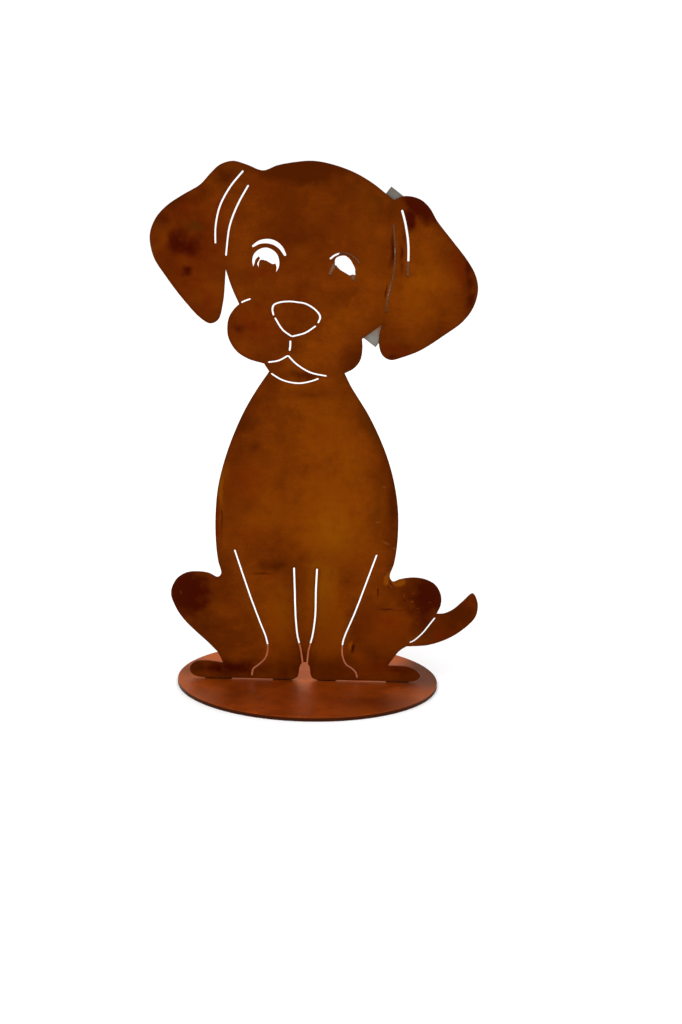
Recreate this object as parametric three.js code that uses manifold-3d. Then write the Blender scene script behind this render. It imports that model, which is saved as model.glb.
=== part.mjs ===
// A sitting puppy cut from one flat steel sheet, with its features cut through as narrow lines,
// standing on a round plate. A small grey plate lies flat behind the head and the ear on the right.
// Millimetres, +Z up, the dog faces -Y. The origin is the middle of the round plate's underside.

import * as THREE from 'three';
import { mergeVertices } from 'three/addons/utils/BufferGeometryUtils.js';
import Module from 'manifold-3d';

const wasm = await Module();
wasm.setup();

// Driving sizes of the dog and its sheet
const figureHeight = 396; // from the underside of the paws to the top of the head
const sheetThickness = 2;
const lineWidth = 1.3; // the narrow lines cut through the sheet
const sheetForward = 4; // from the round plate's middle forward to the sheet's back face

// Driving sizes of the round plate
const baseDiameter = 200;
const baseThickness = 3;
const baseSides = 128;

// Driving sizes of the grey plate behind the head
const backPlateWidth = 64.5;
const backPlateLength = 101;
const backPlateThickness = 1.5;
const backPlateLean = 36.5; // degrees that its long side leans towards the right ear
const backPlateCornerAcross = 29; // the corner cut off it, across its width
const backPlateCornerAlong = 9; // and along its length
const windowMargin = 0.5; // its openings, beyond the edges of the cuts in front of them
const notchMouthWidth = 5; // where the eye's opening breaks out through its edge

// Driving sizes of the weld beads
const footGap = 0.8; // daylight between the paws and the round plate
const footWeldSize = 4; // each leg of the bead's section
const plateWeldSize = 2.2;
const plateWeldLength = 9;
const plateWeldInset = 17; // from each end of the grey plate

// Clearance left between pieces that touch, and the smoothness of the curves
const clearance = 0.3;
const chordTolerance = 0.05;
const capSteps = 6; // flats on each round end of a cut line
const beadSteps = 5; // flats across the face of a weld bead

// The drawing of the dog is laid out as [across, up], 400 units tall, with 0 across over the middle of
// the round plate and 0 up at the underside of the paws. One unit is this many millimetres.
const drawingHeight = 400;
const unit = figureHeight / drawingHeight;

// Where the sheet's back face and the underside of its paws are in the model
const sheetBack = -sheetForward;
const pawHeight = baseThickness + footGap;

// The outline, clockwise from the gap between the left ear and the cheek. Each stroke is a smooth curve
// through its points, and strokes meet at corners.
const outlineStrokes = [
  // left ear and the top of the head
  [
    [-68.5, 318], [-69, 306], [-70, 293.5], [-73.5, 280], [-79.5, 277], [-87, 281], [-99.5, 294],
    [-113.5, 312], [-122.5, 326], [-125.5, 342], [-121.5, 354.5], [-113.5, 364], [-101.5, 372.5],
    [-88.5, 380.5], [-80.5, 389.5], [-74, 395.5], [-64.5, 398.5], [-54, 396], [-42, 392],
    [-31.5, 396], [-20, 398.5], [-5, 400], [10.5, 397.5], [26.5, 392], [40, 384.5], [50, 377], [56, 372.5],
  ],
  // right ear
  [
    [56, 372.5], [62.5, 375.5], [69, 375.5], [76.5, 373], [83, 367], [88.5, 358], [100, 344],
    [113, 328], [119, 317.5], [121, 307], [118, 294], [110.5, 283], [98.5, 273.5], [79.5, 260.5],
    [66.5, 255], [57, 252.5], [51, 255.5], [48, 262.5], [48, 272], [50, 279.5],
  ],
  // under the right ear, in to the jaw
  [[50, 279.5], [35, 268]],
  // right side of the jaw
  [[35, 268], [35.5, 260], [34, 251.5], [29.5, 245.5], [22.5, 241.5]],
  // right side of the body, and the haunch
  [
    [22.5, 241.5], [28.5, 230], [40, 212.5], [50, 193.5], [58, 174], [63.5, 154], [66.5, 133.5],
    [66.5, 110.5], [64.5, 94.5], [61.5, 84], [64, 80], [69.5, 82], [79, 83.5], [88.5, 82.5], [97, 78],
    [101.5, 70], [101.5, 62], [98.5, 55],
  ],
  // tail
  [
    [98.5, 55], [104.5, 55.5], [111.5, 59], [118.5, 65.5], [126, 72], [130, 65], [129, 54],
    [121, 44.5], [109, 36], [93, 30], [76, 28.5],
  ],
  // right haunch down to its paw
  [[76, 28.5], [70.5, 24.5], [62, 12.5]],
  // right paw
  [[62, 12.5], [69.5, 12.5], [78, 12], [84.5, 9], [87.5, 5], [85, 1.5], [80.5, 0]],
  // straight underside of the right paw
  [[80.5, 0], [6.5, 0]],
  // opening between the paws
  [
    [6.5, 0], [3.5, 1.5], [2, 5], [1.5, 9.5], [-0.5, 13], [-2.5, 14], [-5, 13], [-6.5, 10], [-7, 5.5],
    [-8, 2], [-11, 0],
  ],
  // straight underside of the left paw
  [[-11, 0], [-82, 0]],
  // left paw
  [[-82, 0], [-87, 1], [-91, 4], [-91.5, 8.5], [-87.5, 12.5], [-80, 13.5], [-73, 13], [-66, 12]],
  // left haunch above its paw
  [[-66, 12], [-68, 16.5], [-70.5, 21]],
  // left haunch and the left side of the body
  [
    [-70.5, 21], [-78, 28.5], [-87, 36.5], [-96.5, 46], [-103, 55.5], [-107, 67.5], [-103, 78],
    [-95, 83.5], [-85.5, 84.5], [-78, 83.5], [-71, 80.5], [-68.5, 83.5], [-71, 93.5], [-73, 109.5],
    [-73.5, 130], [-72, 151], [-67.5, 171.5], [-61, 191.5], [-52.5, 211.5], [-43, 228.5], [-34.5, 241.5],
  ],
  // chin
  [[-34.5, 241.5], [-36.5, 244.5], [-38.5, 247.5]],
  // left side of the muzzle
  [[-38.5, 247.5], [-51, 251], [-60, 257], [-66, 267.5], [-66, 280.5], [-62, 288], [-58, 292]],
  // left cheek
  [[-58, 292], [-62.5, 301.5], [-65.5, 309], [-68.5, 318]],
];

// The lines cut through the sheet, each by its middle.
const cutLines = {
  leftEarOuter: [[-56.5, 391.5], [-66, 379.5], [-73.5, 365], [-76.5, 350], [-76.5, 337]],
  leftEarInner: [[-52.5, 381], [-60, 367], [-66, 350.5], [-68.5, 328]],
  rightEarInner: [[56, 355], [57.25, 343], [58, 329.5], [57, 316], [53.75, 300], [52.25, 288]],
  leftMuzzle: [[-56.5, 293.25], [-53.5, 294.75], [-49.5, 296.25]],
  noseTop: [
    [-32, 284], [-33, 289], [-32, 292], [-28, 294], [-20.5, 295], [-14, 294.5], [-8, 293.5],
    [-0.5, 289], [3, 284], [1.5, 279],
  ],
  noseRight: [[0, 277], [-8, 271.5], [-18, 268.5]],
  noseLeft: [[-18, 268.5], [-25, 273.5], [-31, 282.5]],
  upperLip: [[-19, 265.5], [-19, 261], [-19.5, 257.5]],
  mouthLeft: [[-20.5, 254], [-27.5, 250], [-35.5, 248.5]],
  mouthRight: [[-20.5, 254], [-14.5, 248], [-3.5, 241.5], [9, 239]],
  lowerLip: [[-33, 240], [-24, 235], [-12, 233], [-2, 235], [3, 237]],
  tailRoot: [[97.5, 52], [92.5, 45], [87.5, 38.5], [81.5, 33], [78.5, 31.5]],
  leftLegOuter: [
    [-58.5, 102.5], [-45.5, 65], [-37, 43], [-33, 33], [-31.5, 25], [-33, 17], [-38.5, 11],
    [-42.5, 7.5], [-43.5, 2],
  ],
  leftLegInner: [[-12.5, 89.5], [-11.5, 70.5], [-10.5, 51], [-8.5, 34], [-6, 24.5], [-4, 12]],
  rightLegInner: [[5.25, 89], [4.75, 71], [4.75, 51.5], [2.75, 34], [0.25, 24], [-0.75, 12]],
  rightLegOuter: [
    [51, 101], [42, 74], [35, 53.5], [28.5, 37], [26.5, 29.5], [26.5, 20.5], [29.5, 13],
    [34.5, 9.5], [37.5, 6], [38.5, 2],
  ],
};

// The wider line down the outside of the right ear. The grey plate leaves it clear to its last point
// but one.
const rightEarOuter = [[62, 365.5], [65, 355], [67.5, 340.5], [68, 327], [68, 315.5]];
const rightEarOuterWidth = 1.6;

// The brows are crescents: a middle line, its width at the ends, and how much that swells half way.
const brows = [
  {
    line: [
      [-49, 335.25], [-44.25, 338.5], [-38.75, 339.75], [-32.75, 338.75], [-27.75, 335.25],
      [-24, 329.25],
    ],
    ends: 1.6,
    swell: 2,
  },
  {
    line: [[9.25, 327.5], [13, 330.5], [18.75, 332.25], [24.25, 331.25], [28.75, 328.25], [31.75, 324.25]],
    ends: 1.5,
    swell: -0.2,
  },
];

// The left eye is one opening, with a thin arm down each side and a slit up beside the lower lid.
const leftEyeStrokes = [
  // over the top, from the foot of the left arm to the foot of the right one
  [
    [-48, 320.5], [-48.75, 324.5], [-47.75, 329.5], [-44.25, 333.25], [-38.75, 335], [-33.5, 333.25],
    [-30, 329.75], [-28.5, 324.25], [-29, 320], [-30.75, 316.75],
  ],
  // back up the right arm
  [[-30.75, 316.75], [-30.5, 320.25], [-31.25, 323]],
  // along the lower lid and down the slit
  [[-31.25, 323], [-34, 322.75], [-38, 325], [-42.75, 325.5], [-43.75, 323.25], [-44, 320]],
  // up the tongue between the slit and the left arm, and down its other side
  [[-44, 320], [-45, 323], [-43, 326.75], [-44, 328.25]],
  [[-44, 328.25], [-46.5, 325.5], [-47, 323], [-48, 320.5]],
];

// The right eye is an opening that the grey plate leaves clear, and two arms that it backs.
const rightEyeStrokes = [
  // over the top
  [
    [13.5, 323.75], [13, 325.75], [13.75, 328.25], [16.75, 330], [20.75, 330.25], [24.25, 327.75],
    [26.5, 324.25], [28.25, 320.5], [28.25, 316],
  ],
  // under the right corner, and up the lower lid
  [[28.25, 316], [26.5, 316.75], [24.5, 315.5]],
  [[24.5, 315.5], [20.5, 317.75], [16.75, 320], [13.5, 323.75]],
];
const rightEyeArms = [
  { line: [[13, 324.5], [11, 319.75], [9, 315.25]], start: 3.4, end: 1.8 },
  { line: [[27, 318.5], [27, 311.75]], start: 3.2, end: 2.4 },
];

// The middle of the grey plate, and the way out through its edge from the eye.
const backPlateCentre = [49.5, 322];
const notchMouth = [[16, 326], [10, 331]];

// Where each weld bead at the paws starts and ends, across the drawing.
const footWelds = [[-80, -59], [-27, -12], [7.5, 22], [61, 79]];

// Curves and loops

// A smooth curve through points of the drawing, in millimetres from the underside of the paws.
function curveThrough(points) {
  const corners = points.map(([across, up]) => new THREE.Vector3(across * unit, up * unit, 0));
  return new THREE.CatmullRomCurve3(corners, false, 'centripetal');
}

// Points along part of a curve, its last one left out, so close that no chord strays from the curve.
function flatten(curve, from, to) {
  const start = curve.getPoint(from);
  const half = (from + to) / 2;
  const middle = curve.getPoint(half);
  const chord = new THREE.Line3(start, curve.getPoint(to));
  const stray = chord.closestPointToPoint(middle, true, new THREE.Vector3()).distanceTo(middle);
  if (stray < chordTolerance) return [new THREE.Vector2(start.x, start.y)];
  return [...flatten(curve, from, half), ...flatten(curve, half, to)];
}

// The same for each span between the points that a curve goes through.
function flattenSpans(curve, from = 0, to = 1) {
  const spans = curve.points.length - 1;
  const stops = [from];
  for (let span = 1; span < spans; span += 1) {
    const stop = span / spans;
    if (stop > from && stop < to) stops.push(stop);
  }
  stops.push(to);
  return stops.slice(1).flatMap((stop, index) => flatten(curve, stops[index], stop));
}

// A closed loop of strokes that each start where the last one ended.
function loopOf(strokes) {
  return strokes.flatMap((points) => flattenSpans(curveThrough(points)));
}

// A loop moved outwards by a margin.
function grown(loop, margin) {
  const turn = THREE.ShapeUtils.isClockWise(loop) ? 1 : -1;
  return loop.map((point, index) => {
    const before = loop[(index + loop.length - 1) % loop.length];
    const after = loop[(index + 1) % loop.length];
    const along = after.clone().sub(before).normalize();
    return new THREE.Vector2(point.x - along.y * margin * turn, point.y + along.x * margin * turn);
  });
}

// The loop of a cut that follows a middle line from tip to tip, with round ends. Its width goes evenly
// from one end to the other, and swells by a further amount half way.
function cutLoop(points, startWidth, endWidth = startWidth, swell = 0) {
  const curve = curveThrough(points);
  const length = curve.getLength();
  const from = curve.getUtoTmapping(0, startWidth / 2);
  const to = curve.getUtoTmapping(0, length - endWidth / 2);
  const last = curve.getPoint(to);
  const middle = [...flattenSpans(curve, from, to), new THREE.Vector2(last.x, last.y)];
  const oneSide = [];
  const otherSide = [];
  let travelled = 0;
  middle.forEach((point, index) => {
    const before = middle[Math.max(index - 1, 0)];
    const after = middle[Math.min(index + 1, middle.length - 1)];
    const along = after.clone().sub(before).normalize();
    const across = new THREE.Vector2(-along.y, along.x);
    travelled += point.distanceTo(before);
    const share = travelled / length;
    const width = THREE.MathUtils.lerp(startWidth, endWidth, share) + swell * Math.sin(Math.PI * share);
    oneSide.push(point.clone().addScaledVector(across, width / 2));
    otherSide.unshift(point.clone().addScaledVector(across, -width / 2));
  });
  const cap = (side, centre) => {
    const steps = [];
    for (let step = 1; step < capSteps; step += 1) {
      steps.push(side.clone().rotateAround(centre, (-Math.PI * step) / capSteps));
    }
    return steps;
  };
  const startCap = cap(otherSide[otherSide.length - 1], middle[0]);
  const endCap = cap(oneSide[oneSide.length - 1], middle[middle.length - 1]);
  return [...oneSide, ...endCap, ...otherSide, ...startCap];
}

// Solids

// A flat plate with this loop as its outline; a cutter reaches past it on both faces.
function plateSolid(loop, thickness, reach = 0) {
  const geometry = new THREE.ExtrudeGeometry(new THREE.Shape(loop), {
    depth: thickness + 2 * reach,
    bevelEnabled: false,
  });
  geometry.translate(0, 0, -reach);
  geometry.deleteAttribute('normal');
  geometry.deleteAttribute('uv');
  const merged = mergeVertices(geometry);
  return new wasm.Manifold(new wasm.Mesh({
    numProp: 3,
    vertProperties: new Float32Array(merged.attributes.position.array),
    triVerts: new Uint32Array(merged.index.array),
  }));
}

function cutThrough(plate, loops, thickness) {
  return loops.reduce((rest, loop) => rest.subtract(plateSolid(loop, thickness, thickness)), plate);
}

function geometryOf(manifold) {
  const { vertProperties, triVerts } = manifold.getMesh();
  const geometry = new THREE.BufferGeometry();
  geometry.setAttribute('position', new THREE.BufferAttribute(new Float32Array(vertProperties), 3));
  geometry.setIndex(new THREE.BufferAttribute(new Uint32Array(triVerts), 1));
  geometry.computeVertexNormals();
  return geometry;
}

// Materials

const rustySteel = new THREE.MeshStandardMaterial({ color: '#6a3008', roughness: 0.6, metalness: 0.55 });
const rustyPlate = new THREE.MeshStandardMaterial({ color: '#78310c', roughness: 0.3, metalness: 0.55 });
const greySteel = new THREE.MeshStandardMaterial({ color: '#77716a', roughness: 0.5, metalness: 0.8 });
const weldMetal = new THREE.MeshStandardMaterial({ color: '#4a2a18', roughness: 0.55, metalness: 0.7 });

const dog = new THREE.Group();

function add(name, geometry, material) {
  const mesh = new THREE.Mesh(geometry, material);
  mesh.name = name;
  dog.add(mesh);
  return mesh;
}

// Flat pieces are drawn face up and then stood on edge, so their top face looks along -Y.
function standUp(mesh, backFace) {
  mesh.rotation.x = Math.PI / 2;
  mesh.position.set(0, backFace, pawHeight);
}

// Round plate

const disc = new THREE.CylinderGeometry(baseDiameter / 2, baseDiameter / 2, baseThickness, baseSides);
const basePlate = add('base_plate', disc, rustyPlate);
basePlate.rotation.x = Math.PI / 2;
basePlate.position.z = baseThickness / 2;

// Dog

const rightEyeLoop = loopOf(rightEyeStrokes);
const dogCuts = [
  ...Object.values(cutLines).map((line) => cutLoop(line, lineWidth)),
  cutLoop(rightEarOuter, rightEarOuterWidth),
  ...brows.map(({ line, ends, swell }) => cutLoop(line, ends, ends, swell)),
  loopOf(leftEyeStrokes),
  rightEyeLoop,
  ...rightEyeArms.map(({ line, start, end }) => cutLoop(line, start, end)),
];
const dogSolid = cutThrough(plateSolid(loopOf(outlineStrokes), sheetThickness), dogCuts, sheetThickness);
standUp(add('dog_sheet', geometryOf(dogSolid), rustySteel), sheetBack);

// Grey plate behind the head and the right ear, with one corner cut off behind the ear's edge

const backPlateMiddle = new THREE.Vector2(...backPlateCentre).multiplyScalar(unit);
const lean = THREE.MathUtils.degToRad(backPlateLean);
const halfWidth = backPlateWidth / 2;
const halfLength = backPlateLength / 2;
const onBackPlate = (across, along) => (
  new THREE.Vector2(across, along).rotateAround(new THREE.Vector2(), -lean).add(backPlateMiddle)
);
const backPlateLoop = [
  onBackPlate(-halfWidth, -halfLength),
  onBackPlate(halfWidth, -halfLength),
  onBackPlate(halfWidth, halfLength - backPlateCornerAlong),
  onBackPlate(halfWidth - backPlateCornerAcross, halfLength),
  onBackPlate(-halfWidth, halfLength),
];
// It is open behind the right eye, from there out through its edge, and behind the outer ear line.
const windows = [
  grown(rightEyeLoop, windowMargin),
  cutLoop(notchMouth, notchMouthWidth),
  cutLoop(rightEarOuter.slice(0, -1), rightEarOuterWidth + 2 * windowMargin),
];
const backPlateSolid = cutThrough(plateSolid(backPlateLoop, backPlateThickness), windows, backPlateThickness);
const backPlateBack = sheetBack + clearance + backPlateThickness;
standUp(add('back_plate', geometryOf(backPlateSolid), greySteel), backPlateBack);

// Weld beads

// A bead with a rounded face that fills a corner, its section drawn from the corner out along x and y.
function beadGeometry(width, height, length) {
  const section = new THREE.Shape();
  section.moveTo(0, 0);
  section.lineTo(width, 0);
  section.absellipse(0, 0, width, height, 0, Math.PI / 2);
  section.lineTo(0, 0);
  const geometry = new THREE.ExtrudeGeometry(section, {
    depth: length,
    bevelEnabled: false,
    curveSegments: beadSteps,
  });
  return geometry.translate(0, 0, -length / 2);
}

// Places a bead so that its section's x and y run along two directions of the model.
function placeBead(mesh, corner, sectionX, sectionY) {
  const along = new THREE.Vector3().crossVectors(sectionX, sectionY);
  mesh.setRotationFromMatrix(new THREE.Matrix4().makeBasis(sectionX, sectionY, along));
  mesh.position.copy(corner);
}

const backwards = new THREE.Vector3(0, 1, 0);
const upwards = new THREE.Vector3(0, 0, 1);

footWelds.forEach(([from, to], index) => {
  const length = (to - from) * unit;
  const bead = add(`foot_weld_${index + 1}`, beadGeometry(footWeldSize, footWeldSize, length), weldMetal);
  const corner = new THREE.Vector3(
    ((from + to) / 2) * unit,
    sheetBack + clearance,
    baseThickness + clearance,
  );
  placeBead(bead, corner, backwards, upwards);
});

let plateWelds = 0;
for (const side of [-1, 1]) {
  for (const end of [-1, 1]) {
    plateWelds += 1;
    const geometry = beadGeometry(plateWeldSize, backPlateThickness, plateWeldLength);
    const bead = add(`back_plate_weld_${plateWelds}`, geometry, weldMetal);
    const spot = onBackPlate(side * (halfWidth + clearance), end * (halfLength - plateWeldInset));
    const corner = new THREE.Vector3(spot.x, sheetBack + clearance, pawHeight + spot.y);
    const outwards = new THREE.Vector3(side * Math.cos(lean), 0, -side * Math.sin(lean));
    placeBead(bead, corner, outwards, backwards);
  }
}

export default dog;
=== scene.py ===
"""A sitting puppy cut from one rusty steel sheet, on a round plate: its looks, built on the solids.

Sizes are in millimetres and turned into metres where a mesh, a lamp or the camera is made.
"""

import math

import bpy
import numpy as np
from mathutils import Matrix, Vector, geometry, kdtree, noise


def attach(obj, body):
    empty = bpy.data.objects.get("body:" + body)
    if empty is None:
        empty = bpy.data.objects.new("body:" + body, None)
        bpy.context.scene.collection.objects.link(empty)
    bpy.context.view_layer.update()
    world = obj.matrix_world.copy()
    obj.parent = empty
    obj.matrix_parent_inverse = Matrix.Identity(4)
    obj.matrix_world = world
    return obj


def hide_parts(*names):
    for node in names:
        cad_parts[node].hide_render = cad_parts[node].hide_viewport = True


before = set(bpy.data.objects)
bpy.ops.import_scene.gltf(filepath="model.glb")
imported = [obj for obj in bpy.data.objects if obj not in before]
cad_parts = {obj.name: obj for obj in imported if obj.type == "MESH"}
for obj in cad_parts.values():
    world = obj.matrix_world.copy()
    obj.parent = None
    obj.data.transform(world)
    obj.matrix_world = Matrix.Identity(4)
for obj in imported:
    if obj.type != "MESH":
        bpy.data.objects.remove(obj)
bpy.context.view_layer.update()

MM = 0.001

# How much brighter than its own colour a face that looks at the camera renders in this light
LIT = 1.2

# Edges of a sheet's rim are no longer than this, the points on its faces are this far apart, and the
# relief reaches its full depth this far from the rim
RIM_STEP = 1.2
FACE_STEP = 1.6
RELIEF_MARGIN = 2.5

# The radius of the rounded edges of each flat piece
SHEET_ROUNDING = 0.15
GREY_PLATE_ROUNDING = 0.2
ROUND_PLATE_ROUNDING = 0.3

# The section of a rounded edge, from the front face to the back one, as shares of its radius: how far
# in from the outline, which face it is measured from, and how far behind that face
ROUNDED_EDGE = ((0.3, "front", 0.3), (0, "front", 1), (0, "back", -1), (0.3, "back", -0.3))

# Weld beads: the spacing of their sections, the steps round each section's arc, the length over which
# an end rounds off, the length of a ripple, the shares of the size that ripples and unevenness take,
# and the gap that a bead closes
BEAD_STEP = 0.25
BEAD_ARC = 10
BEAD_END = 1.6
RIPPLE_LENGTH = 1.5
RIPPLE_DEPTH = 0.1
WOBBLE = 0.03
TOUCH = 0.3

# The far sides of the floor, in metres
FLOOR_REACH = 12.0


# Shapes


def node_points(node):
    """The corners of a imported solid, in millimetres."""
    return np.array([v.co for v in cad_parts[node].data.vertices]) / MM


def face_loops(node, facing, flat):
    """Closed loops round the faces of a solid that look one way, with the solid on their left.

    flat gives the two axes that the loops are drawn on, across and up as seen from in front."""
    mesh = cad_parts[node].data
    directed = set()
    where = {}
    for polygon in mesh.polygons:
        if polygon.normal.dot(facing) < 0.99:
            continue
        keys = []
        for index in polygon.vertices:
            place = mesh.vertices[index].co
            key = tuple(round(c / (MM * 0.001)) for c in place)
            where[key] = [place[axis] / MM for axis in flat]
            keys.append(key)
        directed.update(zip(keys, keys[1:] + keys[:1]))
    ahead = {start: end for start, end in directed if (end, start) not in directed}
    loops = []
    for first in sorted(ahead):
        if first not in ahead:
            continue
        loop = []
        while first in ahead:
            loop.append(where[first])
            first = ahead.pop(first)
        loops.append(np.array(loop))
    return loops


def split_long(loop, longest):
    """The loop with its long edges divided."""
    points = []
    for start, end in zip(loop, np.roll(loop, -1, 0)):
        parts = max(1, math.ceil(np.linalg.norm(end - start) / longest))
        points += [start + (end - start) * part / parts for part in range(parts)]
    return np.array(points)


def inward(loop):
    """For each point of a loop, the step that moves both its edges one unit to their left."""
    ahead = np.roll(loop, -1, 0) - loop
    ahead /= np.linalg.norm(ahead, axis=1)[:, None]
    left = np.stack([-ahead[:, 1], ahead[:, 0]], 1)
    before = np.roll(left, 1, 0)
    step = (left + before) / np.maximum(1 + (left * before).sum(1), 0.25)[:, None]
    length = np.linalg.norm(step, axis=1)[:, None]
    return step * np.minimum(1, 2 / length)


def room(loops, wanted):
    """How far each loop point may move into the solid without meeting the edge across from it."""
    points = np.concatenate(loops)
    loop_of = np.concatenate([np.full(len(loop), n) for n, loop in enumerate(loops)])
    travelled, rounds = [], []
    for loop in loops:
        steps = np.linalg.norm(np.roll(loop, -1, 0) - loop, axis=1)
        travelled.append(np.concatenate([[0], np.cumsum(steps)[:-1]]))
        rounds.append(np.full(len(loop), steps.sum()))
    travelled, rounds = np.concatenate(travelled), np.concatenate(rounds)
    free = np.full(len(points), wanted)
    for n, point in enumerate(points):
        apart = np.linalg.norm(points - point, axis=1)
        along = np.abs(travelled - travelled[n])
        along = np.where(loop_of == loop_of[n], np.minimum(along, rounds - along), np.inf)
        # points that are far along the loop but near to this one lie across the solid
        across = apart[along > 2 * apart]
        across = across[across > 0]
        if len(across):
            free[n] = min(free[n], 0.35 * across.min())
    shares, start = [], 0
    for loop in loops:
        share = free[start : start + len(loop)]
        share = np.minimum(share, np.minimum(np.roll(share, 1), np.roll(share, -1)))
        shares.append(share)
        start += len(loop)
    return shares


def uncrossed(loop, step, share):
    """The moves of a loop's points, cut short where an edge between two of them would turn over."""
    ahead = np.roll(loop, -1, 0) - loop
    length = np.linalg.norm(ahead, axis=1)
    ahead /= length[:, None]
    for _ in range(6):
        start = (step * ahead).sum(1) * share
        end = (np.roll(step, -1, 0) * ahead).sum(1) * np.roll(share, -1)
        cut = np.minimum(1, 0.6 * length / np.maximum(start - end, 1e-9))
        share = share * np.minimum(cut, np.roll(cut, 1))
    return share


def inside(points, loops):
    """Which points lie in the solid: those with an odd number of edges to one side."""
    starts = np.concatenate(loops)
    ends = np.concatenate([np.roll(loop, -1, 0) for loop in loops])
    rise = ends[:, 1] - starts[:, 1]
    rise[rise == 0] = 1e-12
    odd = np.zeros(len(points), bool)
    for first in range(0, len(points), 2000):
        part = points[first : first + 2000, None]
        crosses = (starts[:, 1] > part[..., 1]) != (ends[:, 1] > part[..., 1])
        share = (part[..., 1] - starts[:, 1]) / rise
        hits = crosses & (part[..., 0] < starts[:, 0] + share * (ends[:, 0] - starts[:, 0]))
        odd[first : first + 2000] = hits.sum(1) % 2 == 1
    return odd


def fill(loops, spacing):
    """Triangles that cover the solid between loops, with evenly spread points inside it.

    Returns the points, those of the loops first, and the triangles, anticlockwise."""
    edge_points = np.concatenate(loops)
    edges, start = [], 0
    for loop in loops:
        ring = np.arange(len(loop)) + start
        edges += list(zip(ring.tolist(), np.roll(ring, -1).tolist()))
        start += len(loop)
    low, high = edge_points.min(0), edge_points.max(0)
    rows = []
    for row, height in enumerate(np.arange(low[1], high[1], spacing * math.sqrt(0.75))):
        across = np.arange(low[0] + (row % 2) * spacing / 2, high[0], spacing)
        rows.append(np.stack([across, np.full(len(across), height)], 1))
    grid = np.concatenate(rows)
    grid = grid[inside(grid, loops)]
    grid = grid[distances(grid, loops) > 0.6 * spacing]
    points = np.concatenate([edge_points, grid])
    result = geometry.delaunay_2d_cdt([Vector(p) for p in points], edges, [], 0, 1e-7)
    triangles = np.array(result[2])
    source = np.array([origin[0] for origin in result[3]])
    triangles = source[triangles]
    return points, triangles[enclosed(triangles.tolist(), edges)]


def enclosed(triangles, edges):
    """Which triangles lie in the solid: those with an odd number of loops round them.

    They are told by walking in from the outermost triangles, so thin ones on a straight edge are told
    rightly too."""
    walls = {tuple(sorted(edge)) for edge in edges}
    sides = [[tuple(sorted(pair)) for pair in zip(face, face[1:] + face[:1])] for face in triangles]
    beside = {}
    for number, face_sides in enumerate(sides):
        for side in face_sides:
            beside.setdefault(side, []).append(number)
    waiting = [(faces[0], side in walls) for side, faces in beside.items() if len(faces) == 1]
    within = [None] * len(triangles)
    while waiting:
        number, odd = waiting.pop()
        if within[number] is None:
            within[number] = odd
            for side in sides[number]:
                waiting += [(other, odd != (side in walls)) for other in beside[side]]
    return np.array(within)


def distances(points, loops):
    """The distance of each point from the nearest loop."""
    edge_points = np.concatenate([split_long(loop, 0.5) for loop in loops])
    tree = kdtree.KDTree(len(edge_points))
    for index, point in enumerate(edge_points):
        tree.insert((*point, 0), index)
    tree.balance()
    return np.array([tree.find((*point, 0))[2] for point in points])


def smooth_step(value, low, high):
    """A share from 0 to 1 that rises smoothly as a value goes from low to high."""
    share = np.clip((value - low) / (high - low), 0, 1)
    return share * share * (3 - 2 * share)


def waves(points, size, seed, detail=1):
    """Smooth noise from 0 to 1 over points, with features of a given size."""
    offset = Vector((seed * 17.3, seed * 5.1, seed * 9.7))
    values = []
    for point in points:
        place = Vector((*point[:2], 0)) / size + offset
        values.append(noise.fractal(place, 1.0, 2.0, detail))
    return np.clip(0.5 + 0.5 * np.array(values), 0, 1)


def new_object(name, points, faces, slot, *nodes):
    """A piece of the dog, from points in millimetres."""
    mesh = bpy.data.meshes.new(name)
    mesh.from_pydata([Vector(p) * MM for p in points], [], faces)
    mesh.validate()
    mesh.shade_smooth()
    mesh.set_sharp_from_angle(angle=math.radians(35))
    piece = bpy.data.objects.new(name, mesh)
    bpy.context.scene.collection.objects.link(piece)
    weighted = piece.modifiers.new("flat faces stay flat", "WEIGHTED_NORMAL")
    weighted.keep_sharp = True
    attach(piece, "root")
    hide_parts(*nodes)
    return piece


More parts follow.
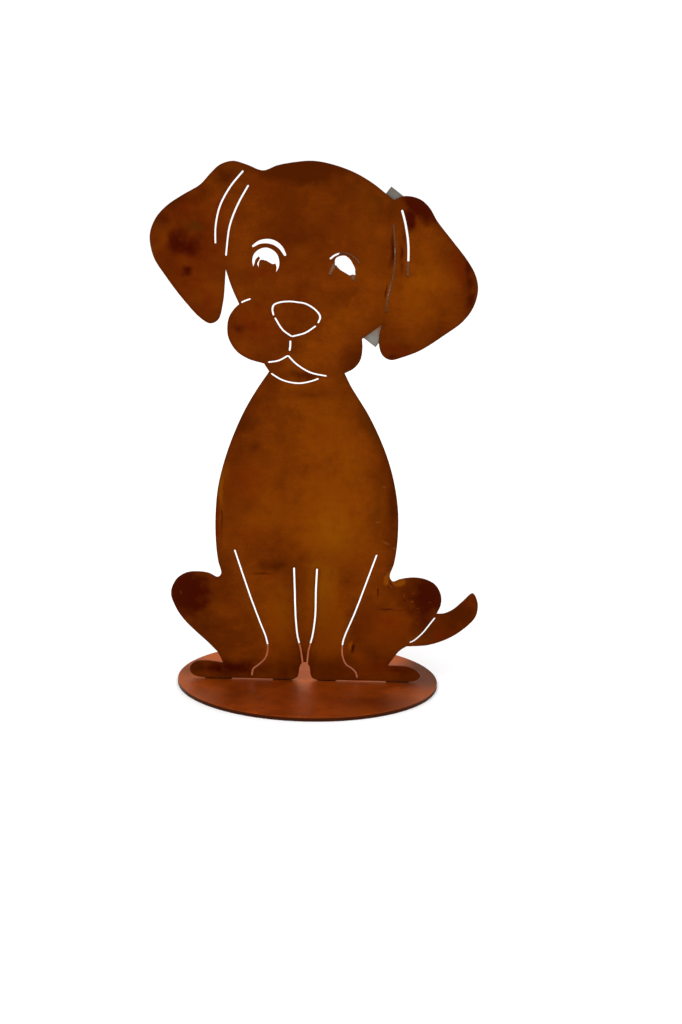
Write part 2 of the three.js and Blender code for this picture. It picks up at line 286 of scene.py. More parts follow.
def upright_sheet(name, node, slot, rounding, relief):
    """A flat upright piece on its solid's outline and openings, with rounded edges and low relief.

    relief gives the depths of the front and of the back below their flat faces. Each point keeps its
    distance from the outline, as the attribute rim."""
    loops = face_loops(node, Vector((0, -1, 0)), (0, 2))
    loops = [split_long(loop, RIM_STEP) for loop in loops]
    corners = node_points(node)
    faces_at = {"front": corners[:, 1].min(), "back": corners[:, 1].max()}
    steps = [inward(loop) for loop in loops]
    shares = [uncrossed(*parts) for parts in zip(loops, steps, room(loops, rounding))]
    inner = [loop + step * share[:, None] for loop, step, share in zip(loops, steps, shares)]
    flat, triangles = fill(inner, FACE_STEP)
    fade = smooth_step(distances(flat, loops), rounding, RELIEF_MARGIN)
    front_depth, back_depth = relief(flat)
    points, rim = [], []

    def add(across, depth, up, reach):
        points.append((across, depth, up))
        rim.append(reach)

    outline = max(loops, key=lambda loop: np.ptp(loop[:, 0]) * np.ptp(loop[:, 1]))
    from_outline = distances(flat, [outline])
    for side, sunk in (("front", front_depth * fade), ("back", -back_depth * fade)):
        for (across, up), depth, reach in zip(flat, faces_at[side] + sunk, from_outline):
            add(across, depth, up, reach)
    count = len(flat)
    faces = triangles.tolist() + (triangles[:, ::-1] + count).tolist()

    start = 0
    for loop, step, share in zip(loops, steps, shares):
        size = len(loop)
        rows = [np.arange(size) + start]
        for inset, side, sunk in ROUNDED_EDGE:
            rows.append(np.arange(size) + len(points))
            for point, move, reach in zip(loop, step, share):
                across, up = point + move * reach * inset
                add(across, faces_at[side] + reach * sunk, up, 0)
        rows.append(np.arange(size) + start + count)
        for near, far in zip(rows, rows[1:]):
            quads = np.stack([near, far, np.roll(far, -1), np.roll(near, -1)], 1)
            faces += quads.tolist()
        start += size
    piece = new_object(name, points, faces, slot, node)
    attribute = piece.data.attributes.new("rim", "FLOAT", "POINT")
    attribute.data.foreach_set("value", np.array(rim, np.float32))
    return piece


# Materials


def shown(red, green, blue):
    """The colour, in the scene's terms, of a face that renders with these screen values."""

    def linear(value):
        value /= 255
        if value <= 0.04045:
            return value / 12.92
        return ((value + 0.055) / 1.055) ** 2.4

    return tuple(linear(value) / LIT for value in (red, green, blue)) + (1,)


class Shader:
    """A node material. Each call adds a node and gives back its output."""

    def __init__(self, name):
        self.material = bpy.data.materials.new(name)
        self.material.use_nodes = True
        self.tree = self.material.node_tree
        self.tree.nodes.clear()

    def add(self, kind, inputs, output=0, **settings):
        node = self.tree.nodes.new("ShaderNode" + kind)
        for name, value in settings.items():
            setattr(node, name, value)
        for name, value in inputs.items():
            if isinstance(value, bpy.types.NodeSocket):
                self.tree.links.new(value, node.inputs[name])
            else:
                node.inputs[name].default_value = value
        return node.outputs[output]

    def math(self, operation, first, second=0.0, third=0.0):
        inputs = {0: first, 1: second, 2: third}
        return self.add("Math", inputs, operation=operation)

    def vector(self, operation, first, second):
        return self.add("VectorMath", {0: first, 1: second}, operation=operation)

    def noise(self, place, size, detail=3.0, stretch=(1, 1, 1)):
        """Noise from 0 to 1 with features of a size in millimetres."""
        place = self.vector("DIVIDE", place, tuple(size * s for s in stretch))
        return self.add("TexNoise", {"Vector": place, "Scale": 1.0, "Detail": detail}, "Fac")

    def ramp(self, value, low, high, start=0.0, end=1.0):
        """A smooth step of a value between two levels."""
        inputs = {
            "Value": value,
            "From Min": low,
            "From Max": high,
            "To Min": start,
            "To Max": end,
        }
        return self.add("MapRange", inputs, "Result", interpolation_type="SMOOTHSTEP")

    def mix(self, factor, first, second, blend="MIX"):
        inputs = {0: factor, 6: first, 7: second}
        return self.add("Mix", inputs, 2, data_type="RGBA", blend_type=blend)

    def shift(self, place, size, amount):
        """Places moved about by up to an amount, so that what is drawn on them has uneven edges."""
        parts = []
        for offset in ((0, 0, 0), (31, 17, 5)):
            part = self.noise(self.vector("ADD", place, offset), size)
            parts.append(self.math("MULTIPLY_ADD", part, 2 * amount, -amount))
        moved = self.add("CombineXYZ", {"X": parts[0], "Y": parts[1]})
        return self.vector("ADD", place, moved)

    def surface(self, colour, roughness, height, relief, **sockets):
        bump = self.add(
            "Bump", {"Strength": relief, "Distance": 0.2 * MM, "Height": height}, "Normal"
        )
        inputs = {"Base Color": colour, "Roughness": roughness, "Normal": bump}
        inputs.update({name.replace("_", " "): value for name, value in sockets.items()})
        lit = self.add("BsdfPrincipled", inputs)
        self.add_output(lit)
        return self.material

    def add_output(self, lit):
        output = self.tree.nodes.new("ShaderNodeOutputMaterial")
        self.tree.links.new(lit, output.inputs["Surface"])


FOOT_WELDS = [f"foot_weld_{number}" for number in range(1, 5)]
PLATE_WELDS = [f"back_plate_weld_{number}" for number in range(1, 5)]

# How far the grey plate leans to the right, and the part of it behind the head and the ear, where the
# rust has stained it: across, up, half width, half height, lean and strength
PLATE_LEAN = math.radians(36.5)
COVERED = (49, 322, 100, 47, -36.5, 1)
# and where bare metal with a painted highlight glints through the lower half of the line in front of
# it
PAINTED_GLINT = (54.6, 319, 2, 26, -6, 1)

# Rust tones, as they look in even light
BROWN = shown(97, 38, 2)
TAN = shown(116, 50, 3)
# the last also gives the narrow painted shade along the outline
OUTLINE_DARK_AND_SHADE = shown(72, 24, 2)

# How a patch of another tone fades out: how far its edge is moved about, and the levels between which
# it sets in
SOFT = (6, 0.0, 0.85)
BLOTCH = (5, 0.05, 0.75)
MARK = (0.9, 0.08, 0.7)

# Patches of other tones on the front of the dog. Each group has its tone, how its patches fade out,
# and for every patch: across, up, half width, half height, lean and strength.
TONES = {
    "warm": (shown(128, 58, 2), SOFT, [
        (0, 345, 41, 21, -10, 0.3),  # forehead
        (33, 320, 31, 22, 10, 0.5),  # right cheek
        (77, 310, 37, 42, 0, 0.8),  # right ear
        (13, 284, 36, 27, 0, 0.4),  # right of the muzzle
        (7, 192, 48, 57, -10, 0.8),  # chest
        (16, 134, 58, 72, -5, 1),  # belly
        (-22, 50, 31, 43, 15, 1),  # left leg
        (-47, 66, 23, 32, 0, 0.4),  # left haunch, inside
        (12, 54, 25, 52, 0, 1.4),  # right leg
        (-38, 144, 33, 57, 0, 0.6),  # body, left of the middle
        (59, 43, 26, 21, 30, 0.5),  # right haunch, low
        (-114, 339, 6.6, 16, 5, 0.8),  # left ear, outer edge
        (-42, 232, 12, 9, 0, 0.5),  # neck
        (-85, 319, 10, 7.4, 0, 0.4),  # left ear, under the blotch
        (-49, 259, 16, 11, 0, 0.3),  # muzzle, low
    ]),
    "glow": (shown(138, 72, 3), SOFT, [
        (16, 121, 30, 41, -6, 0.6),  # belly
        (28, 173, 18, 26, 0, 0.3),  # belly, right
        (-20, 62, 11, 32, 0, 0.4),  # left leg
        (9, 79, 15, 44, 0, 0.8),  # right leg
        (-69, 150, 3.8, 40, -2, 0.8),  # left edge
        (79, 316, 19, 16, 0, 0.3),  # right ear
        (34, 223, 9, 15, -25, 0.3),  # neck, right
        (-8.3, 382.0, 7.4, 5.8, 0, 0.3),  # crown
    ]),
    "red": (shown(106, 30, 2), SOFT, [
        (-41, 316, 27, 7.4, -5, 0.5),  # under the left eye
        (-35, 381, 32, 18, 0, 0.35),  # forehead, left
        (-49, 159, 26, 31, 0, 0.4),  # left of the belly
        (-72, 129, 5.3, 36, 0, 0.8),  # left edge
        (7, 198, 20, 14, 0, 0.3),  # chest
        (-13, 334, 81, 66, 0, 0.3),  # head
        (62, 48, 31, 24, 0, 0.5),  # right haunch
        (105, 44, 26, 13, 35, 0.8),  # tail root
        (-94, 332, 37, 62, -10, 0.7),  # left ear
        (-98, 365, 26, 16, 35, 0.7),  # left ear, upper edge
        (-49, 277, 33, 27, 0, 0.55),  # left of the muzzle
        (-82, 295, 19, 25, -25, 0.5),  # left ear, tip
        (107, 321, 10, 37, 14, 0.6),  # right ear, outer edge
        (62, 259, 19, 6.8, -8, 0.8),  # right ear, tip
        (56, 14, 26, 10, 0, 0.5),  # right paw, middle
        (120, 60, 11, 21, -15, 0.9),  # tail tip
        (-46, 117, 29, 14, 0, 0.35),  # left of the belly, low
        (-59, 221, 12, 11, 0, 0.6),  # left shoulder
        (-73, 366, 7.4, 16, -25, 0.6),  # between the lines of the left ear
    ]),
    "dark": (shown(76, 26, 1), SOFT, [
        (-13, 393, 68, 17, 0, 1.1),  # crown
        (-13, 342, 89, 59, 0, 0.5),  # head
        (-96, 339, 41, 62, -15, 0.6),  # left ear
        (-46, 354, 19, 13, 0, 0.3),  # left temple
        (-108, 371, 29, 16, 35, 0.9),  # left ear, upper edge
        (-88, 372, 24, 15, 35, 0.6),  # left ear, below the fold
        (-69, 386, 22, 17, 0, 0.8),  # left ear, top
        (-90, 343, 19, 29, 0, 0.5),  # left ear, round the blotch
        (-57, 207, 20, 23, 35, 0.7),  # left shoulder
        (-43, 184, 21, 21, 0, 0.5),  # left of the chest
        (-50, 141, 15, 17, 0, 0.4),  # left of the belly
        (-59, 134, 11, 23, 0, 0.35),  # left flank
        (-26, 93, 24, 11, 0, 0.7),  # belly
        (32, 252, 22, 20, 0, 0.75),  # right end of the jaw
        (-9, 240, 25, 6.8, 0, 0.9),  # inside the mouth
        (-2, 226, 34, 9, 0, 0.5),  # neck, under the mouth
        (69, 262, 33, 14, 15, 0.55),  # right ear, lower edge
        (-80, 46, 23, 21, 40, 0.6),  # left haunch, lower edge
        (-52, 272, 25, 26, 0, 0.35),  # left of the muzzle
        (-84, 295, 22, 27, -25, 0.3),  # left ear, tip
        (88, 49, 20, 16, 40, 0.7),  # right haunch by the tail
        (15, 15, 26, 14, 0, 0.5),  # foot of the right leg
        (-15, 12, 26, 14, 0, 0.6),  # foot of the left leg
        (114, 57, 26, 19, 45, 1),  # tail
        (114, 308, 10, 45, 8, 0.7),  # right ear, edge
        (93, 357, 16, 19, -50, 0.45),  # right ear, upper edge
        (61, 88, 7.6, 19, 0, 0.5),  # over the right notch
        (54, 362, 7.4, 25, 0, 0.4),  # beside the inner line of the right ear
        (28, 385, 26, 19, -30, 0.5),  # crown, right
        (1, 19, 15, 10, 0, 0.5),  # between the legs
        (63, 147, 10, 54, -2, 0.9),  # right flank, edge
        (54, 184, 9, 31, 14, 0.5),  # right flank, high
        (85, 69, 25, 27, 0, 0.8),  # right haunch
        (-90, 66, 31, 35, -30, 0.6),  # left haunch
        (-72, 90, 7.6, 9, 0, 0.4),  # over the left notch
    ]),
    "olive": (shown(82, 38, 3), SOFT, [
        (41, 372, 27, 18, -35, 0.5),  # crown, right
        (51, 142, 9, 54, -3, 0.45),  # right flank
        (44, 204, 11, 34, 22, 0.7),  # right shoulder
        (92, 37, 20, 13, 40, 0.4),  # tail root
        (-87, 14, 11, 8, 0, 0.9),  # tip of the left paw
        (-10, 59, 6.9, 35, 0, 0.35),  # left leg, inner edge
        (-91, 350, 11, 6.6, 0, 0.7),  # left ear, over the blotch
        (-12, 263, 13, 9, 0, 0.3),  # muzzle
        (93.9, 19.6, 4.6, 6.4, 0, 0.6),  # tip of the right paw
    ]),
    "light": (shown(120, 54, 3), SOFT, [
        (-12, 333, 18, 11, 0, 0.5),  # between the eyes
        (-37, 305, 18, 9, 0, 0.35),  # under the left eye
        (-98, 322, 13, 10, 0, 0.4),  # left ear, under the blotch
        (-65, 166, 6.8, 20, 6, 0.45),  # left edge, high
        (-65, 115, 6.1, 20, -4, 0.45),  # left edge, low
        (22, 102, 26, 17, 0, 0.5),  # belly, low
        (-7, 62, 44, 40, 0, 0.3),  # legs
        (-76, 304, 9, 10, 0, 0.3),  # left ear, towards the cheek
    ]),
    "maroon": (shown(62, 8, 1), BLOTCH, [
        (-95, 72, 31, 27, -40, 1.25),  # left haunch
        (-102, 74, 12, 19, 0, 0.7),  # left haunch, edge
        (94, 75, 21, 24, 10, 1.2),  # right haunch
        (88, 59, 20, 14, 20, 0.7),  # right haunch, low
        (77, 70, 15, 19, 0, 0.4),  # right haunch, towards the leg
        (75, 369, 24, 12, -32, 1.2),  # right ear, top
        (68, 360, 6.6, 13, 5, 1),  # right ear, beside the outer line
        (-103, 337, 13, 14, -20, 0.9),  # left ear blotch
        (-95, 333, 11, 13, 0, 0.75),  # left ear blotch, right half
        (-95.7, 316.5, 6.7, 7.4, 0, 0.8),  # left ear spot
        (-117, 357, 9, 18, 35, 0.5),  # left ear, upper edge
        (-56.5, 273.5, 7.4, 7.5, 0, 0.6),  # muzzle spot
        (-46.2, 279.0, 4.5, 3.0, 0, 0.4),  # muzzle spot, second
        (55, 336, 3.7, 22, 0, 0.8),  # left of the inner line of the right ear: painted shade along the line
        (62, 335, 3.7, 25, 4, 0.5),  # between the lines of the right ear
        (64, 346, 4.4, 16, 5, 0.5),  # between the lines, high
        (-62, 12, 51, 12, 0, 0.7),  # left paw
        (74, 12, 22, 8, 0, 0.45),  # right paw
        (-6, 23, 5.4, 10, 0, 0.4),  # between the legs
        (111, 325, 5.2, 31, 12, 0.6),  # right ear, outer edge
        (115, 303, 4.5, 16, -12, 0.6),  # right ear, outer edge, low
        (57, 256, 13, 3.8, -4, 0.6),  # right ear, tip
        (83, 365, 12, 9, -45, 0.7),  # right ear, under the top
        (63, 324, 3.0, 10, 0, 0.5),  # beside the foot of the outer line
    ]),
    "orange": (shown(140, 70, 6), MARK, [
        (67.3, 83.4, 7.6, 4.7, -8, 1.6),  # notch above the right haunch: painted highlight on its edge
        (59.6, 85.6, 3.8, 7.9, -20, 1.4),  # beside that notch: painted highlight
        (32.0, 31.8, 3.1, 8.0, -12, 0.6),  # right leg, beside the crease
        (-53.7, 235.8, 3.7, 3.0, 0, 0.3),  # chin
        (39.9, 79.6, 6.1, 4.7, 0, 0.2),  # right leg, high
        (28.7, 321.8, 5.2, 3.7, 20, 0.3),  # right cheek
        (9.7, 340.6, 6.7, 3.7, 0, 0.25),  # between the eyes
    ]),
    "fleck": (shown(122, 62, 20), MARK, [
        (54.4, 156.9, 3.0, 1.2, 15, 0.8),  # right flank
        (40.6, 163.1, 3.0, 1.2, -10, 0.5),  # right flank
        (43.2, 148.5, 2.3, 1.5, 0, 0.5),  # right flank
        (40.3, 143.8, 2.3, 1.6, 0, 0.6),  # right flank
        (54.2, 137.9, 2.3, 0.9, 0, 0.4),  # right flank
        (50.6, 129.2, 3.0, 1.1, 0, 0.8),  # right flank
        (57.2, 113.0, 4.6, 1.4, -25, 0.9),  # right flank
        (64.2, 109.2, 2.3, 1.6, -20, 0.9),  # right flank
        (46.3, 121.3, 1.5, 2.3, 0, 0.4),  # right flank
        (37.4, 139.0, 1.5, 3.1, 0, 0.4),  # right flank
        (11.5, 174.8, 4.5, 1.4, -15, 0.5),  # chest
    ]),
    "scratch": (shown(124, 50, 18), MARK, [
        (54.8, 91.0, 6.9, 1.3, -10, 0.7),  # above the right notch
        (61.3, 80.1, 1.2, 3.9, 30, 0.9),  # below the right notch
        (65.9, 79.4, 3.8, 1.2, -5, 0.7),  # below the notch
        (64.1, 61.2, 3.8, 1.0, 0, 0.9),  # right haunch
        (79.1, 74.2, 2.3, 0.8, -10, 0.7),  # right haunch
        (78.5, 67.8, 2.3, 0.9, -20, 0.8),  # right haunch
        (83.3, 62.4, 2.3, 1.0, 0, 0.5),  # right haunch
        (92.3, 67.4, 2.3, 0.8, 0, 0.5),  # right haunch
        (72.2, 72.4, 0.9, 3.2, 0, 0.6),  # right haunch
        (54.7, 69.7, 1.1, 3.2, -20, 0.6),  # right haunch
        (-98.3, 70.7, 1.1, 3.2, 10, 0.5),  # left haunch
        (-105.2, 70.6, 1.1, 3.9, 0, 0.6),  # left haunch, edge
    ]),
    "crease": (shown(66, 18, 1), MARK, [
        (-36.7, 87.2, 14, 1.6, 2, 0.65),  # belly
        (60.3, 61.1, 11, 1.4, 0, 0.75),  # right haunch
        (51.4, 305.3, 1.0, 9, -10, 0.8),  # left of the inner line of the right ear: painted shade along the line
        (52.2, 74.3, 0.9, 7.9, 2, 0.7),  # right haunch, upright
        (34.3, 29.4, 1.9, 6.4, -5, 0.9),  # right leg crease
        (-67.9, 129.5, 1.2, 26, -1, 0.6),  # left edge
        (61.2, 82.4, 1.5, 3.9, 25, 0.8),  # by the right notch
        (79.7, 78.2, 3.1, 2.0, 0, 0.5),  # right haunch
        (72.3, 68.5, 5.4, 1.6, -25, 0.6),  # right haunch
        (69.5, 60.5, 5.4, 1.0, 0, 0.5),  # right haunch
    ]),
}


def places(shader, flat):
    """Where a point is, in millimetres, with its first two parts along the given axes.

    Returns it whole, and its third part by itself."""
    coords = shader.add("TexCoord", {}, "Object")
    coords = shader.vector("DIVIDE", coords, (MM, MM, MM))
    parts = [shader.add("SeparateXYZ", {"Vector": coords}, axis) for axis in range(3)]
    first, second = (parts[axis] for axis in flat)
    third = parts[3 - sum(flat)]
    return shader.add("CombineXYZ", {"X": first, "Y": second, "Z": third}), third


def rust_colour(shader, place, brown, tan):
    """Brown rust: broad cloudy patches, smaller blotches, mottling and short faint streaks."""
    clouds = shader.noise(shader.shift(place, 14, 5), 34, 3)
    colour = shader.mix(shader.ramp(clouds, 0.36, 0.64), brown, tan)
    blotches = shader.noise(shader.shift(place, 6, 2), 12, 3)
    colour = darkened(shader, colour, blotches, 0.91)
    mottle = shader.noise(place, 3.5, 4)
    colour = darkened(shader, colour, mottle, 0.95)
    streaks = shader.noise(shader.shift(place, 9, 1.5), 1.0, 2, (9, 2, 4))
    colour = darkened(shader, colour, streaks, 0.95)
    specks = shader.noise(place, 0.7, 2)
    return darkened(shader, colour, specks, 0.92)


def darkened(shader, colour, value, least, low=0.3, high=0.7):
    """The colour times a factor that goes from least to 2 - least as a value rises."""
    factor = shader.ramp(value, low, high, least, 2 - least)
    factor = shader.add("CombineColor", {0: factor, 1: factor, 2: factor})
    return shader.mix(1.0, colour, factor, "MULTIPLY")


def patch_field(shader, place, patches):
    """A field that rises to each patch's strength at its middle."""
    field = None
    for across, up, wide, high, lean, strength in patches:
        inputs = {
            "Vector": place,
            "Location": (across, up, 0),
            "Rotation": (0, 0, math.radians(lean)),
            "Scale": (wide, high, 1),
        }
        spot = shader.add("Mapping", inputs, vector_type="TEXTURE")
        spot = shader.add("TexGradient", {"Vector": spot}, "Fac", gradient_type="SPHERICAL")
        spot = shader.math("MULTIPLY", spot, strength)
        field = spot if field is None else shader.math("MAXIMUM", field, spot)
    return field


def heat_marks(shader, place, welds, flat, reach):
    """How strongly the heat of the weld beads has marked the steel round them."""
    patches = []
    for node in welds:
        corners = node_points(node)[:, flat]
        low, high = corners.min(0), corners.max(0)
        patches.append((*(low + high) / 2, *((high - low) / 2 + reach), 0, 1))
    moved = shader.vector("MULTIPLY", shader.shift(place, 5, 1), (1, 1, 0))
    return shader.ramp(patch_field(shader, moved, patches), 0.0, 0.6)


def near_front(shader, depth, node, full, none):
    """1 as far as a depth behind the front face of a solid, and 0 from a second depth on."""
    front = node_points(node)[:, 1].min()
    return shader.ramp(depth, front + full, front + none, 1.0, 0.0)


def sheet_material():
    shader = Shader("rusty sheet")
    place, depth = places(shader, (0, 2))
    colour = rust_colour(shader, place, BROWN, TAN)
    flat_place = shader.vector("MULTIPLY", place, (1, 1, 0))
    # patches are stronger in some places than in others
    broken = shader.math("MULTIPLY_ADD", shader.noise(place, 7, 4), 1.4, 0.3)
    on_front = near_front(shader, depth, "dog_sheet", 0.8, 1.2)
    for tone, (sway, low, high), patches in TONES.values():
        # their edges are broadly uneven, and finely so on top of that
        moved = shader.shift(flat_place, 4 * sway, sway)
        moved = shader.vector("MULTIPLY", shader.shift(moved, 1.2 * sway, 0.3 * sway), (1, 1, 0))
        field = shader.math("MULTIPLY", patch_field(shader, moved, patches), broken)
        level = shader.math("MULTIPLY", shader.ramp(field, low, high), on_front)
        colour = shader.mix(level, colour, tone)
    on_back = shader.math("SUBTRACT", 1.0, on_front)
    heat = heat_marks(shader, place, FOOT_WELDS + PLATE_WELDS, (0, 2), 5)
    colour = shader.mix(shader.math("MULTIPLY", heat, on_back), colour, shown(46, 22, 16))
    grain = shader.noise(place, 1.3, 4)
    colour = darkened(shader, colour, grain, 0.96)
    # the sheet is a little darker towards its outline, and a narrow painted shade lies along the
    # outline itself, where its edge is in shadow
    rim = shader.add("Attribute", {}, "Fac", attribute_name="rim")
    colour = shader.mix(shader.ramp(rim, 0.0, 26, 0.18, 0.0), colour, OUTLINE_DARK_AND_SHADE)
    colour = shader.mix(shader.ramp(rim, 0.0, 3.5, 0.3, 0.0), colour, OUTLINE_DARK_AND_SHADE)
    roughness = shader.ramp(shader.noise(place, 5, 3), 0.3, 0.7, 0.45, 0.6)
    height = shader.math("MULTIPLY_ADD", shader.noise(place, 4, 4), 0.6, grain)
    return shader.surface(
        colour,
        roughness,
        height,
        0.3,
        Metallic=0.2,
        Specular_IOR_Level=0.05,
        Specular_Tint=(1.0, 0.35, 0.04, 1),
    )


# Places on the round plate: painted shade in front of the dog, and duller places whose greyer colour
# is a painted tint of the light: across, back, half width, half depth, lean and strength
PAINTED_SHADE_SPOTS = [(55, -60, 60, 42, 20, 0.7), (-55, -50, 45, 40, -20, 0.4)]
DULL_SPOTS_WITH_PAINTED_TINT = [(92, 20, 34, 75, 0, 0.85), (-60, 85, 60, 30, 0, 0.5), (-92, 15, 26, 50, 0, 0.4)]


def base_material():
    shader = Shader("lacquered rusty plate")
    place, height = places(shader, (0, 1))
    # the rust is painted lighter than the sheet's, which stands in for the light on the plate's top
    colour = rust_colour(shader, place, shown(164, 68, 7), shown(181, 80, 11))
    moved = shader.vector("MULTIPLY", shader.shift(place, 18, 5), (1, 1, 0))
    dull = shader.ramp(patch_field(shader, moved, DULL_SPOTS_WITH_PAINTED_TINT), 0.05, 0.6)
    # painted tint of the light: the duller places are painted greyer, and they are rougher too
    colour = shader.mix(dull, colour, shown(104, 58, 42))
    # painted shade in front of the dog
    painted_shade = shader.ramp(patch_field(shader, moved, PAINTED_SHADE_SPOTS), 0.0, 0.8)
    colour = shader.mix(painted_shade, colour, shown(128, 52, 6))
    heat = heat_marks(shader, place, FOOT_WELDS, (0, 1), 4)
    colour = shader.mix(heat, colour, shown(70, 34, 20))
    grain = shader.noise(place, 1.6, 3)
    colour = darkened(shader, colour, grain, 0.97)
    # painted shade: the plate's edge and its underside are darker
    thickness = node_points("base_plate")[:, 2].max()
    on_edge = shader.ramp(height, thickness - 0.3, thickness - 0.1, 1.0, 0.0)
    colour = shader.mix(on_edge, colour, shown(66, 27, 9))
    smooth = shader.ramp(shader.noise(place, 12, 3), 0.3, 0.7, 0.46, 0.54)
    roughness = shader.math("MULTIPLY_ADD", dull, 0.25, smooth)
    return shader.surface(
        colour,
        roughness,
        grain,
        0.02,
        Metallic=0.7,
        IOR=1.3,
        Specular_IOR_Level=0.25,
        Specular_Tint=(0.9, 0.78, 0.65, 1),
    )


def grey_material():
    shader = Shader("dull grey steel")
    place, depth = places(shader, (0, 2))
    _, height = places(shader, (0, 1))
    lean = shader.add("VectorRotate", {"Vector": place, "Angle": PLATE_LEAN}, rotation_type="Z_AXIS")
    clouds = shader.noise(place, 18, 4)
    colour = shader.mix(shader.ramp(clouds, 0.3, 0.7), shown(114, 110, 101), shown(140, 136, 128))
    # painted shade: the plate is darker towards its top, in the shade between it and the head
    upper = shader.ramp(height, 330, 372)
    colour = shader.mix(shader.math("MULTIPLY", upper, 0.35), colour, shown(92, 88, 78))
    lines = shader.noise(lean, 1.0, 3, (0.5, 30, 3))
    colour = darkened(shader, colour, lines, 0.95, 0.25, 0.75)
    rust = shader.ramp(shader.noise(place, 5, 5), 0.55, 0.8, 0.0, 0.5)
    colour = shader.mix(rust, colour, shown(110, 82, 58))
    # rust from the dog has stained its front
    moved = shader.vector("MULTIPLY", shader.shift(place, 8, 2), (1, 1, 0))
    stain = shader.ramp(patch_field(shader, moved, [COVERED]), 0.0, 0.25, 0.0, 0.9)
    on_front = near_front(shader, depth, "back_plate", 0.2, 0.5)
    stain = shader.math("MULTIPLY", stain, on_front)
    colour = shader.mix(stain, colour, shown(146, 90, 44))
    heat = heat_marks(shader, place, PLATE_WELDS, (0, 2), 5)
    heat = shader.math("MULTIPLY", heat, shader.math("SUBTRACT", 1.0, on_front))
    colour = shader.mix(heat, colour, shown(66, 56, 52))
    # painted highlight: bare metal glints in spots
    painted_glint = shader.ramp(patch_field(shader, moved, [PAINTED_GLINT]), 0.1, 0.5)
    painted_glint = shader.math("MULTIPLY", painted_glint, shader.ramp(shader.noise(place, 3, 2), 0.4, 0.55))
    painted_glint = shader.math("MULTIPLY", painted_glint, on_front)
    colour = shader.mix(painted_glint, colour, shown(196, 168, 140))
    rim = shader.add("Attribute", {}, "Fac", attribute_name="rim")
    colour = shader.mix(shader.ramp(rim, 0.0, 2.5, 0.35, 0.0), colour, shown(92, 80, 66))
    roughness = shader.ramp(lines, 0.3, 0.7, 0.42, 0.55)
    return shader.surface(colour, roughness, lines, 0.1, Metallic=0.6)


def weld_material():
    shader = Shader("weld bead")
    place, _ = places(shader, (0, 2))
    clouds = shader.noise(place, 3, 4)
    colour = shader.mix(shader.ramp(clouds, 0.35, 0.65), shown(70, 34, 14), shown(104, 80, 62))
    grain = shader.noise(place, 0.8, 3)
    return shader.surface(colour, shader.ramp(grain, 0.3, 0.7, 0.4, 0.6), grain, 0.3, Metallic=0.6)


# Pieces


def sheet_relief(flat):
    """Slow waves of a flat-cut sheet and the low crust of its rust."""
    slow = waves(flat, 55, 1, 2)
    crust = waves(flat, 6, 2, 3)
    pits = smooth_step(waves(flat, 3.2, 3, 1), 0.62, 0.8)
    front = 0.1 * slow + 0.05 * crust + 0.05 * pits
    back = 0.1 * waves(flat, 55, 4, 2) + 0.05 * waves(flat, 7, 5, 3)
    return front, back


def plate_relief(flat):
    """The grey plate is nearly flat."""
    front = 0.04 * waves(flat, 30, 6, 2)
    back = 0.04 * waves(flat, 30, 7, 2) + 0.02 * waves(flat, 5, 8, 2)
    return front, back


sheet = upright_sheet("rusty_sheet_dog", "dog_sheet", "rusty_sheet", SHEET_ROUNDING, sheet_relief)
sheet.data.materials.append(sheet_material())
grey_plate = upright_sheet(
    "grey_plate", "back_plate", "grey_steel", GREY_PLATE_ROUNDING, plate_relief
)
grey_plate.data.materials.append(grey_material())


def round_plate():
    """The round plate: a lathe section with softened edges, and low waves in its top."""
    corners = node_points("base_plate")
    radius, thickness = corners[:, 0].max(), corners[:, 2].max()
    around = 256
    flat_radius = radius - ROUND_PLATE_ROUNDING
    bevel = ROUND_PLATE_ROUNDING * 0.3
    under = np.linspace(0, flat_radius, 14)[1:]
    over = np.linspace(0, flat_radius, 62)[1:]
    section = [(r, 0) for r in under]
    section += [(radius - bevel, bevel), (radius, ROUND_PLATE_ROUNDING)]
    section += [(radius, thickness - ROUND_PLATE_ROUNDING), (radius - bevel, thickness - bevel)]
    section += [(r, thickness) for r in over[::-1]]
    angles = np.arange(around) / around * 2 * math.pi
    rings = []
    for r, z in section:
        rings.append(np.stack([r * np.cos(angles), r * np.sin(angles), np.full(around, z)], 1))
    points = np.concatenate(rings)
    on_top = points[:, 2] == thickness
    fade = 1 - smooth_step(np.hypot(points[:, 0], points[:, 1]), radius - 4, flat_radius)
    depth = 0.06 * waves(points, 30, 9, 1)
    points[:, 2] -= np.where(on_top, depth * fade, 0)
    points = points.tolist() + [(0, 0, 0), (0, 0, points[-1][2])]
    faces = []
    for row in range(len(section) - 1):
        near = np.arange(around) + row * around
        far = near + around
        faces += np.stack([near, np.roll(near, -1), np.roll(far, -1), far], 1).tolist()
    last = (len(section) - 1) * around
    for step in range(around):
        after = (step + 1) % around
        faces.append((len(points) - 2, after, step))
        faces.append((len(points) - 1, last + step, last + after))
    piece = new_object("round_plate", points, faces, "rusty_base", "base_plate")
    piece.data.materials.append(base_material())


round_plate()

weld = weld_material()


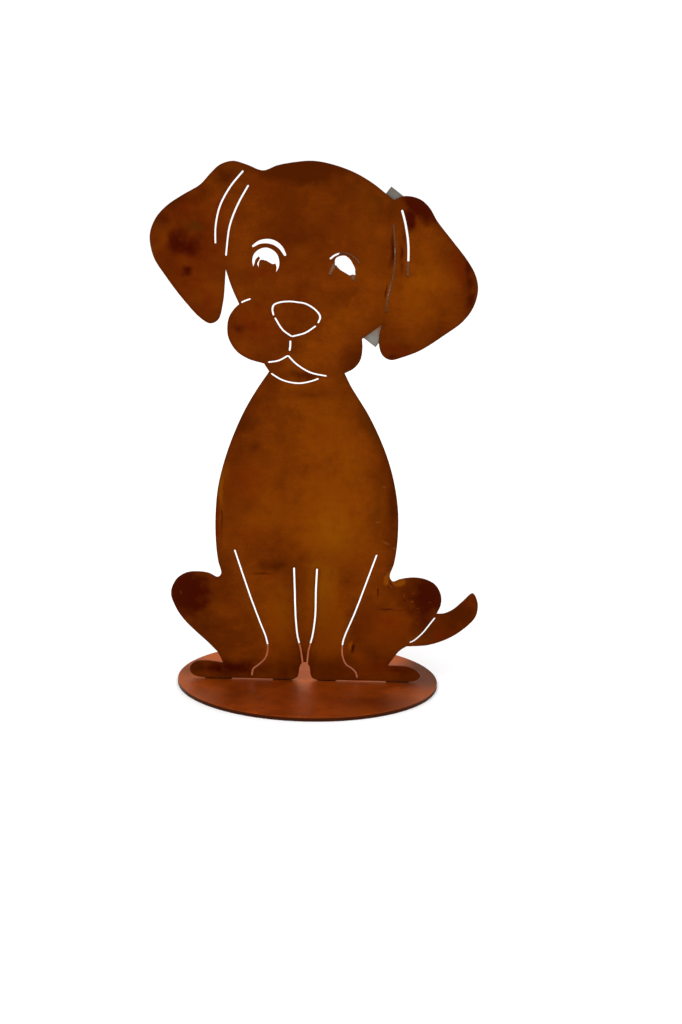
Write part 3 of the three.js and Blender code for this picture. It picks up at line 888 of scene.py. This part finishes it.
def bead(name, node, across, up, along):
    """A weld bead in the corner that its solid fills, laid down in ripples, with rounded ends."""
    corners = node_points(node)
    spans = [corners @ np.array(axis) for axis in (across, up, along)]
    width, height = np.ptp(spans[0]) + TOUCH, np.ptp(spans[1]) + TOUCH
    corner_a, corner_b = spans[0].min() - TOUCH, spans[1].min() - TOUCH
    start, end = spans[2].min(), spans[2].max()
    stations = int((end - start) / BEAD_STEP)
    points = []
    for station in range(stations + 1):
        reach = (end - start) * station / stations
        from_end = min(reach, end - start - reach)
        taper = math.sqrt(min(1, (from_end + 0.15) / BEAD_END))
        ripple = 1 - RIPPLE_DEPTH + RIPPLE_DEPTH * abs(math.sin(math.pi * reach / RIPPLE_LENGTH))
        wobble = WOBBLE * noise.noise(Vector((reach / 2.5, start, 0)))
        size = taper * (ripple + wobble) * (1 - WOBBLE)
        section = [(0, 0)]
        for step in range(BEAD_ARC + 1):
            angle = math.pi / 2 * step / BEAD_ARC
            section.append((width * size * math.cos(angle), height * size * math.sin(angle)))
        for a, b in section:
            place = np.array(across) * (corner_a + a) + np.array(up) * (corner_b + b)
            points.append(place + np.array(along) * (start + reach))
    ring = BEAD_ARC + 2
    faces = []
    for station in range(stations):
        for step in range(ring):
            after = (step + 1) % ring
            low, high = station * ring, (station + 1) * ring
            faces.append((low + step, low + after, high + after, high + step))
    faces.append(tuple(reversed(range(ring))))
    faces.append(tuple(range(stations * ring, (stations + 1) * ring)))
    if np.dot(np.cross(across, up), along) < 0:
        faces = [tuple(reversed(face)) for face in faces]
    piece = new_object(name, points, faces, "weld", node)
    piece.data.materials.append(weld)


BACK, UP = (0, 1, 0), (0, 0, 1)
for number, node in enumerate(FOOT_WELDS, 1):
    bead(f"foot_bead_{number}", node, BACK, UP, (1, 0, 0))
outwards = (math.cos(PLATE_LEAN), 0, -math.sin(PLATE_LEAN))
along = (math.sin(PLATE_LEAN), 0, math.cos(PLATE_LEAN))
for number, node in enumerate(PLATE_WELDS, 1):
    side = -1 if number < 3 else 1
    away = tuple(side * part for part in outwards)
    bead(f"grey_plate_bead_{number}", node, away, BACK, along)


# Floor, light and camera


def floor_material():
    shader = Shader("pale floor")
    shader.add_output(shader.add("BsdfDiffuse", {"Color": (0.93, 0.93, 0.93, 1)}))
    return shader.material


floor_mesh = bpy.data.meshes.new("floor")
corner_signs = ((-1, -1), (1, -1), (1, 1), (-1, 1))
floor_corners = [(x * FLOOR_REACH, y * FLOOR_REACH, 0) for x, y in corner_signs]
floor_mesh.from_pydata(floor_corners, [], [(0, 1, 2, 3)])
floor_mesh.materials.append(floor_material())
floor = bpy.data.objects.new("floor", floor_mesh)
bpy.context.scene.collection.objects.link(floor)

world = bpy.data.worlds.new("white studio")
world.use_nodes = True
background = world.node_tree.nodes["Background"]
background.inputs["Color"].default_value = (1, 1, 1, 1)
background.inputs["Strength"].default_value = 1.12
bpy.context.scene.world = world


def soft_box(name, place, width, watts):
    """A large soft lamp that looks at the middle of the dog."""
    lamp = bpy.data.lights.new(name, "AREA")
    lamp.size = width
    lamp.energy = watts
    box = bpy.data.objects.new(name, lamp)
    box.location = place
    box.rotation_euler = (Vector((0, 0, 0.2)) - Vector(place)).to_track_quat("-Z", "Y").to_euler()
    bpy.context.scene.collection.objects.link(box)


soft_box("front soft box", (-1.0, -1.5, 1.7), 1.4, 14)
soft_box("back soft box", (1.1, 1.6, 1.6), 1.4, 8)

# The camera stands 1.7 m in front, a little above the dog's head, and looks down at it: its place in
# metres, and how far it is turned, tipped down and rolled
CAMERA_PLACE = (0, -1.690148, 0.511288)
CAMERA_ANGLES = (0.7591, 12.5395, 1.5149)
camera_data = bpy.data.cameras.new("camera")
camera_data.sensor_fit = "AUTO"
camera_data.sensor_width = 36
camera_data.lens = 80
camera = bpy.data.objects.new("camera", camera_data)
bpy.context.scene.collection.objects.link(camera)
turn, tip, roll = (math.radians(angle) for angle in CAMERA_ANGLES)
ahead = Vector((math.sin(turn) * math.cos(tip), math.cos(turn) * math.cos(tip), -math.sin(tip)))
level = Vector((math.cos(turn), -math.sin(turn), 0))
upright = level.cross(ahead)
right = math.cos(roll) * level + math.sin(roll) * upright
top = -math.sin(roll) * level + math.cos(roll) * upright
pose = Matrix((right, top, -ahead)).transposed().to_4x4()
pose.translation = Vector(CAMERA_PLACE)
camera.matrix_world = pose
bpy.context.scene.camera = camera
bpy.context.scene.view_settings.view_transform = "Standard"
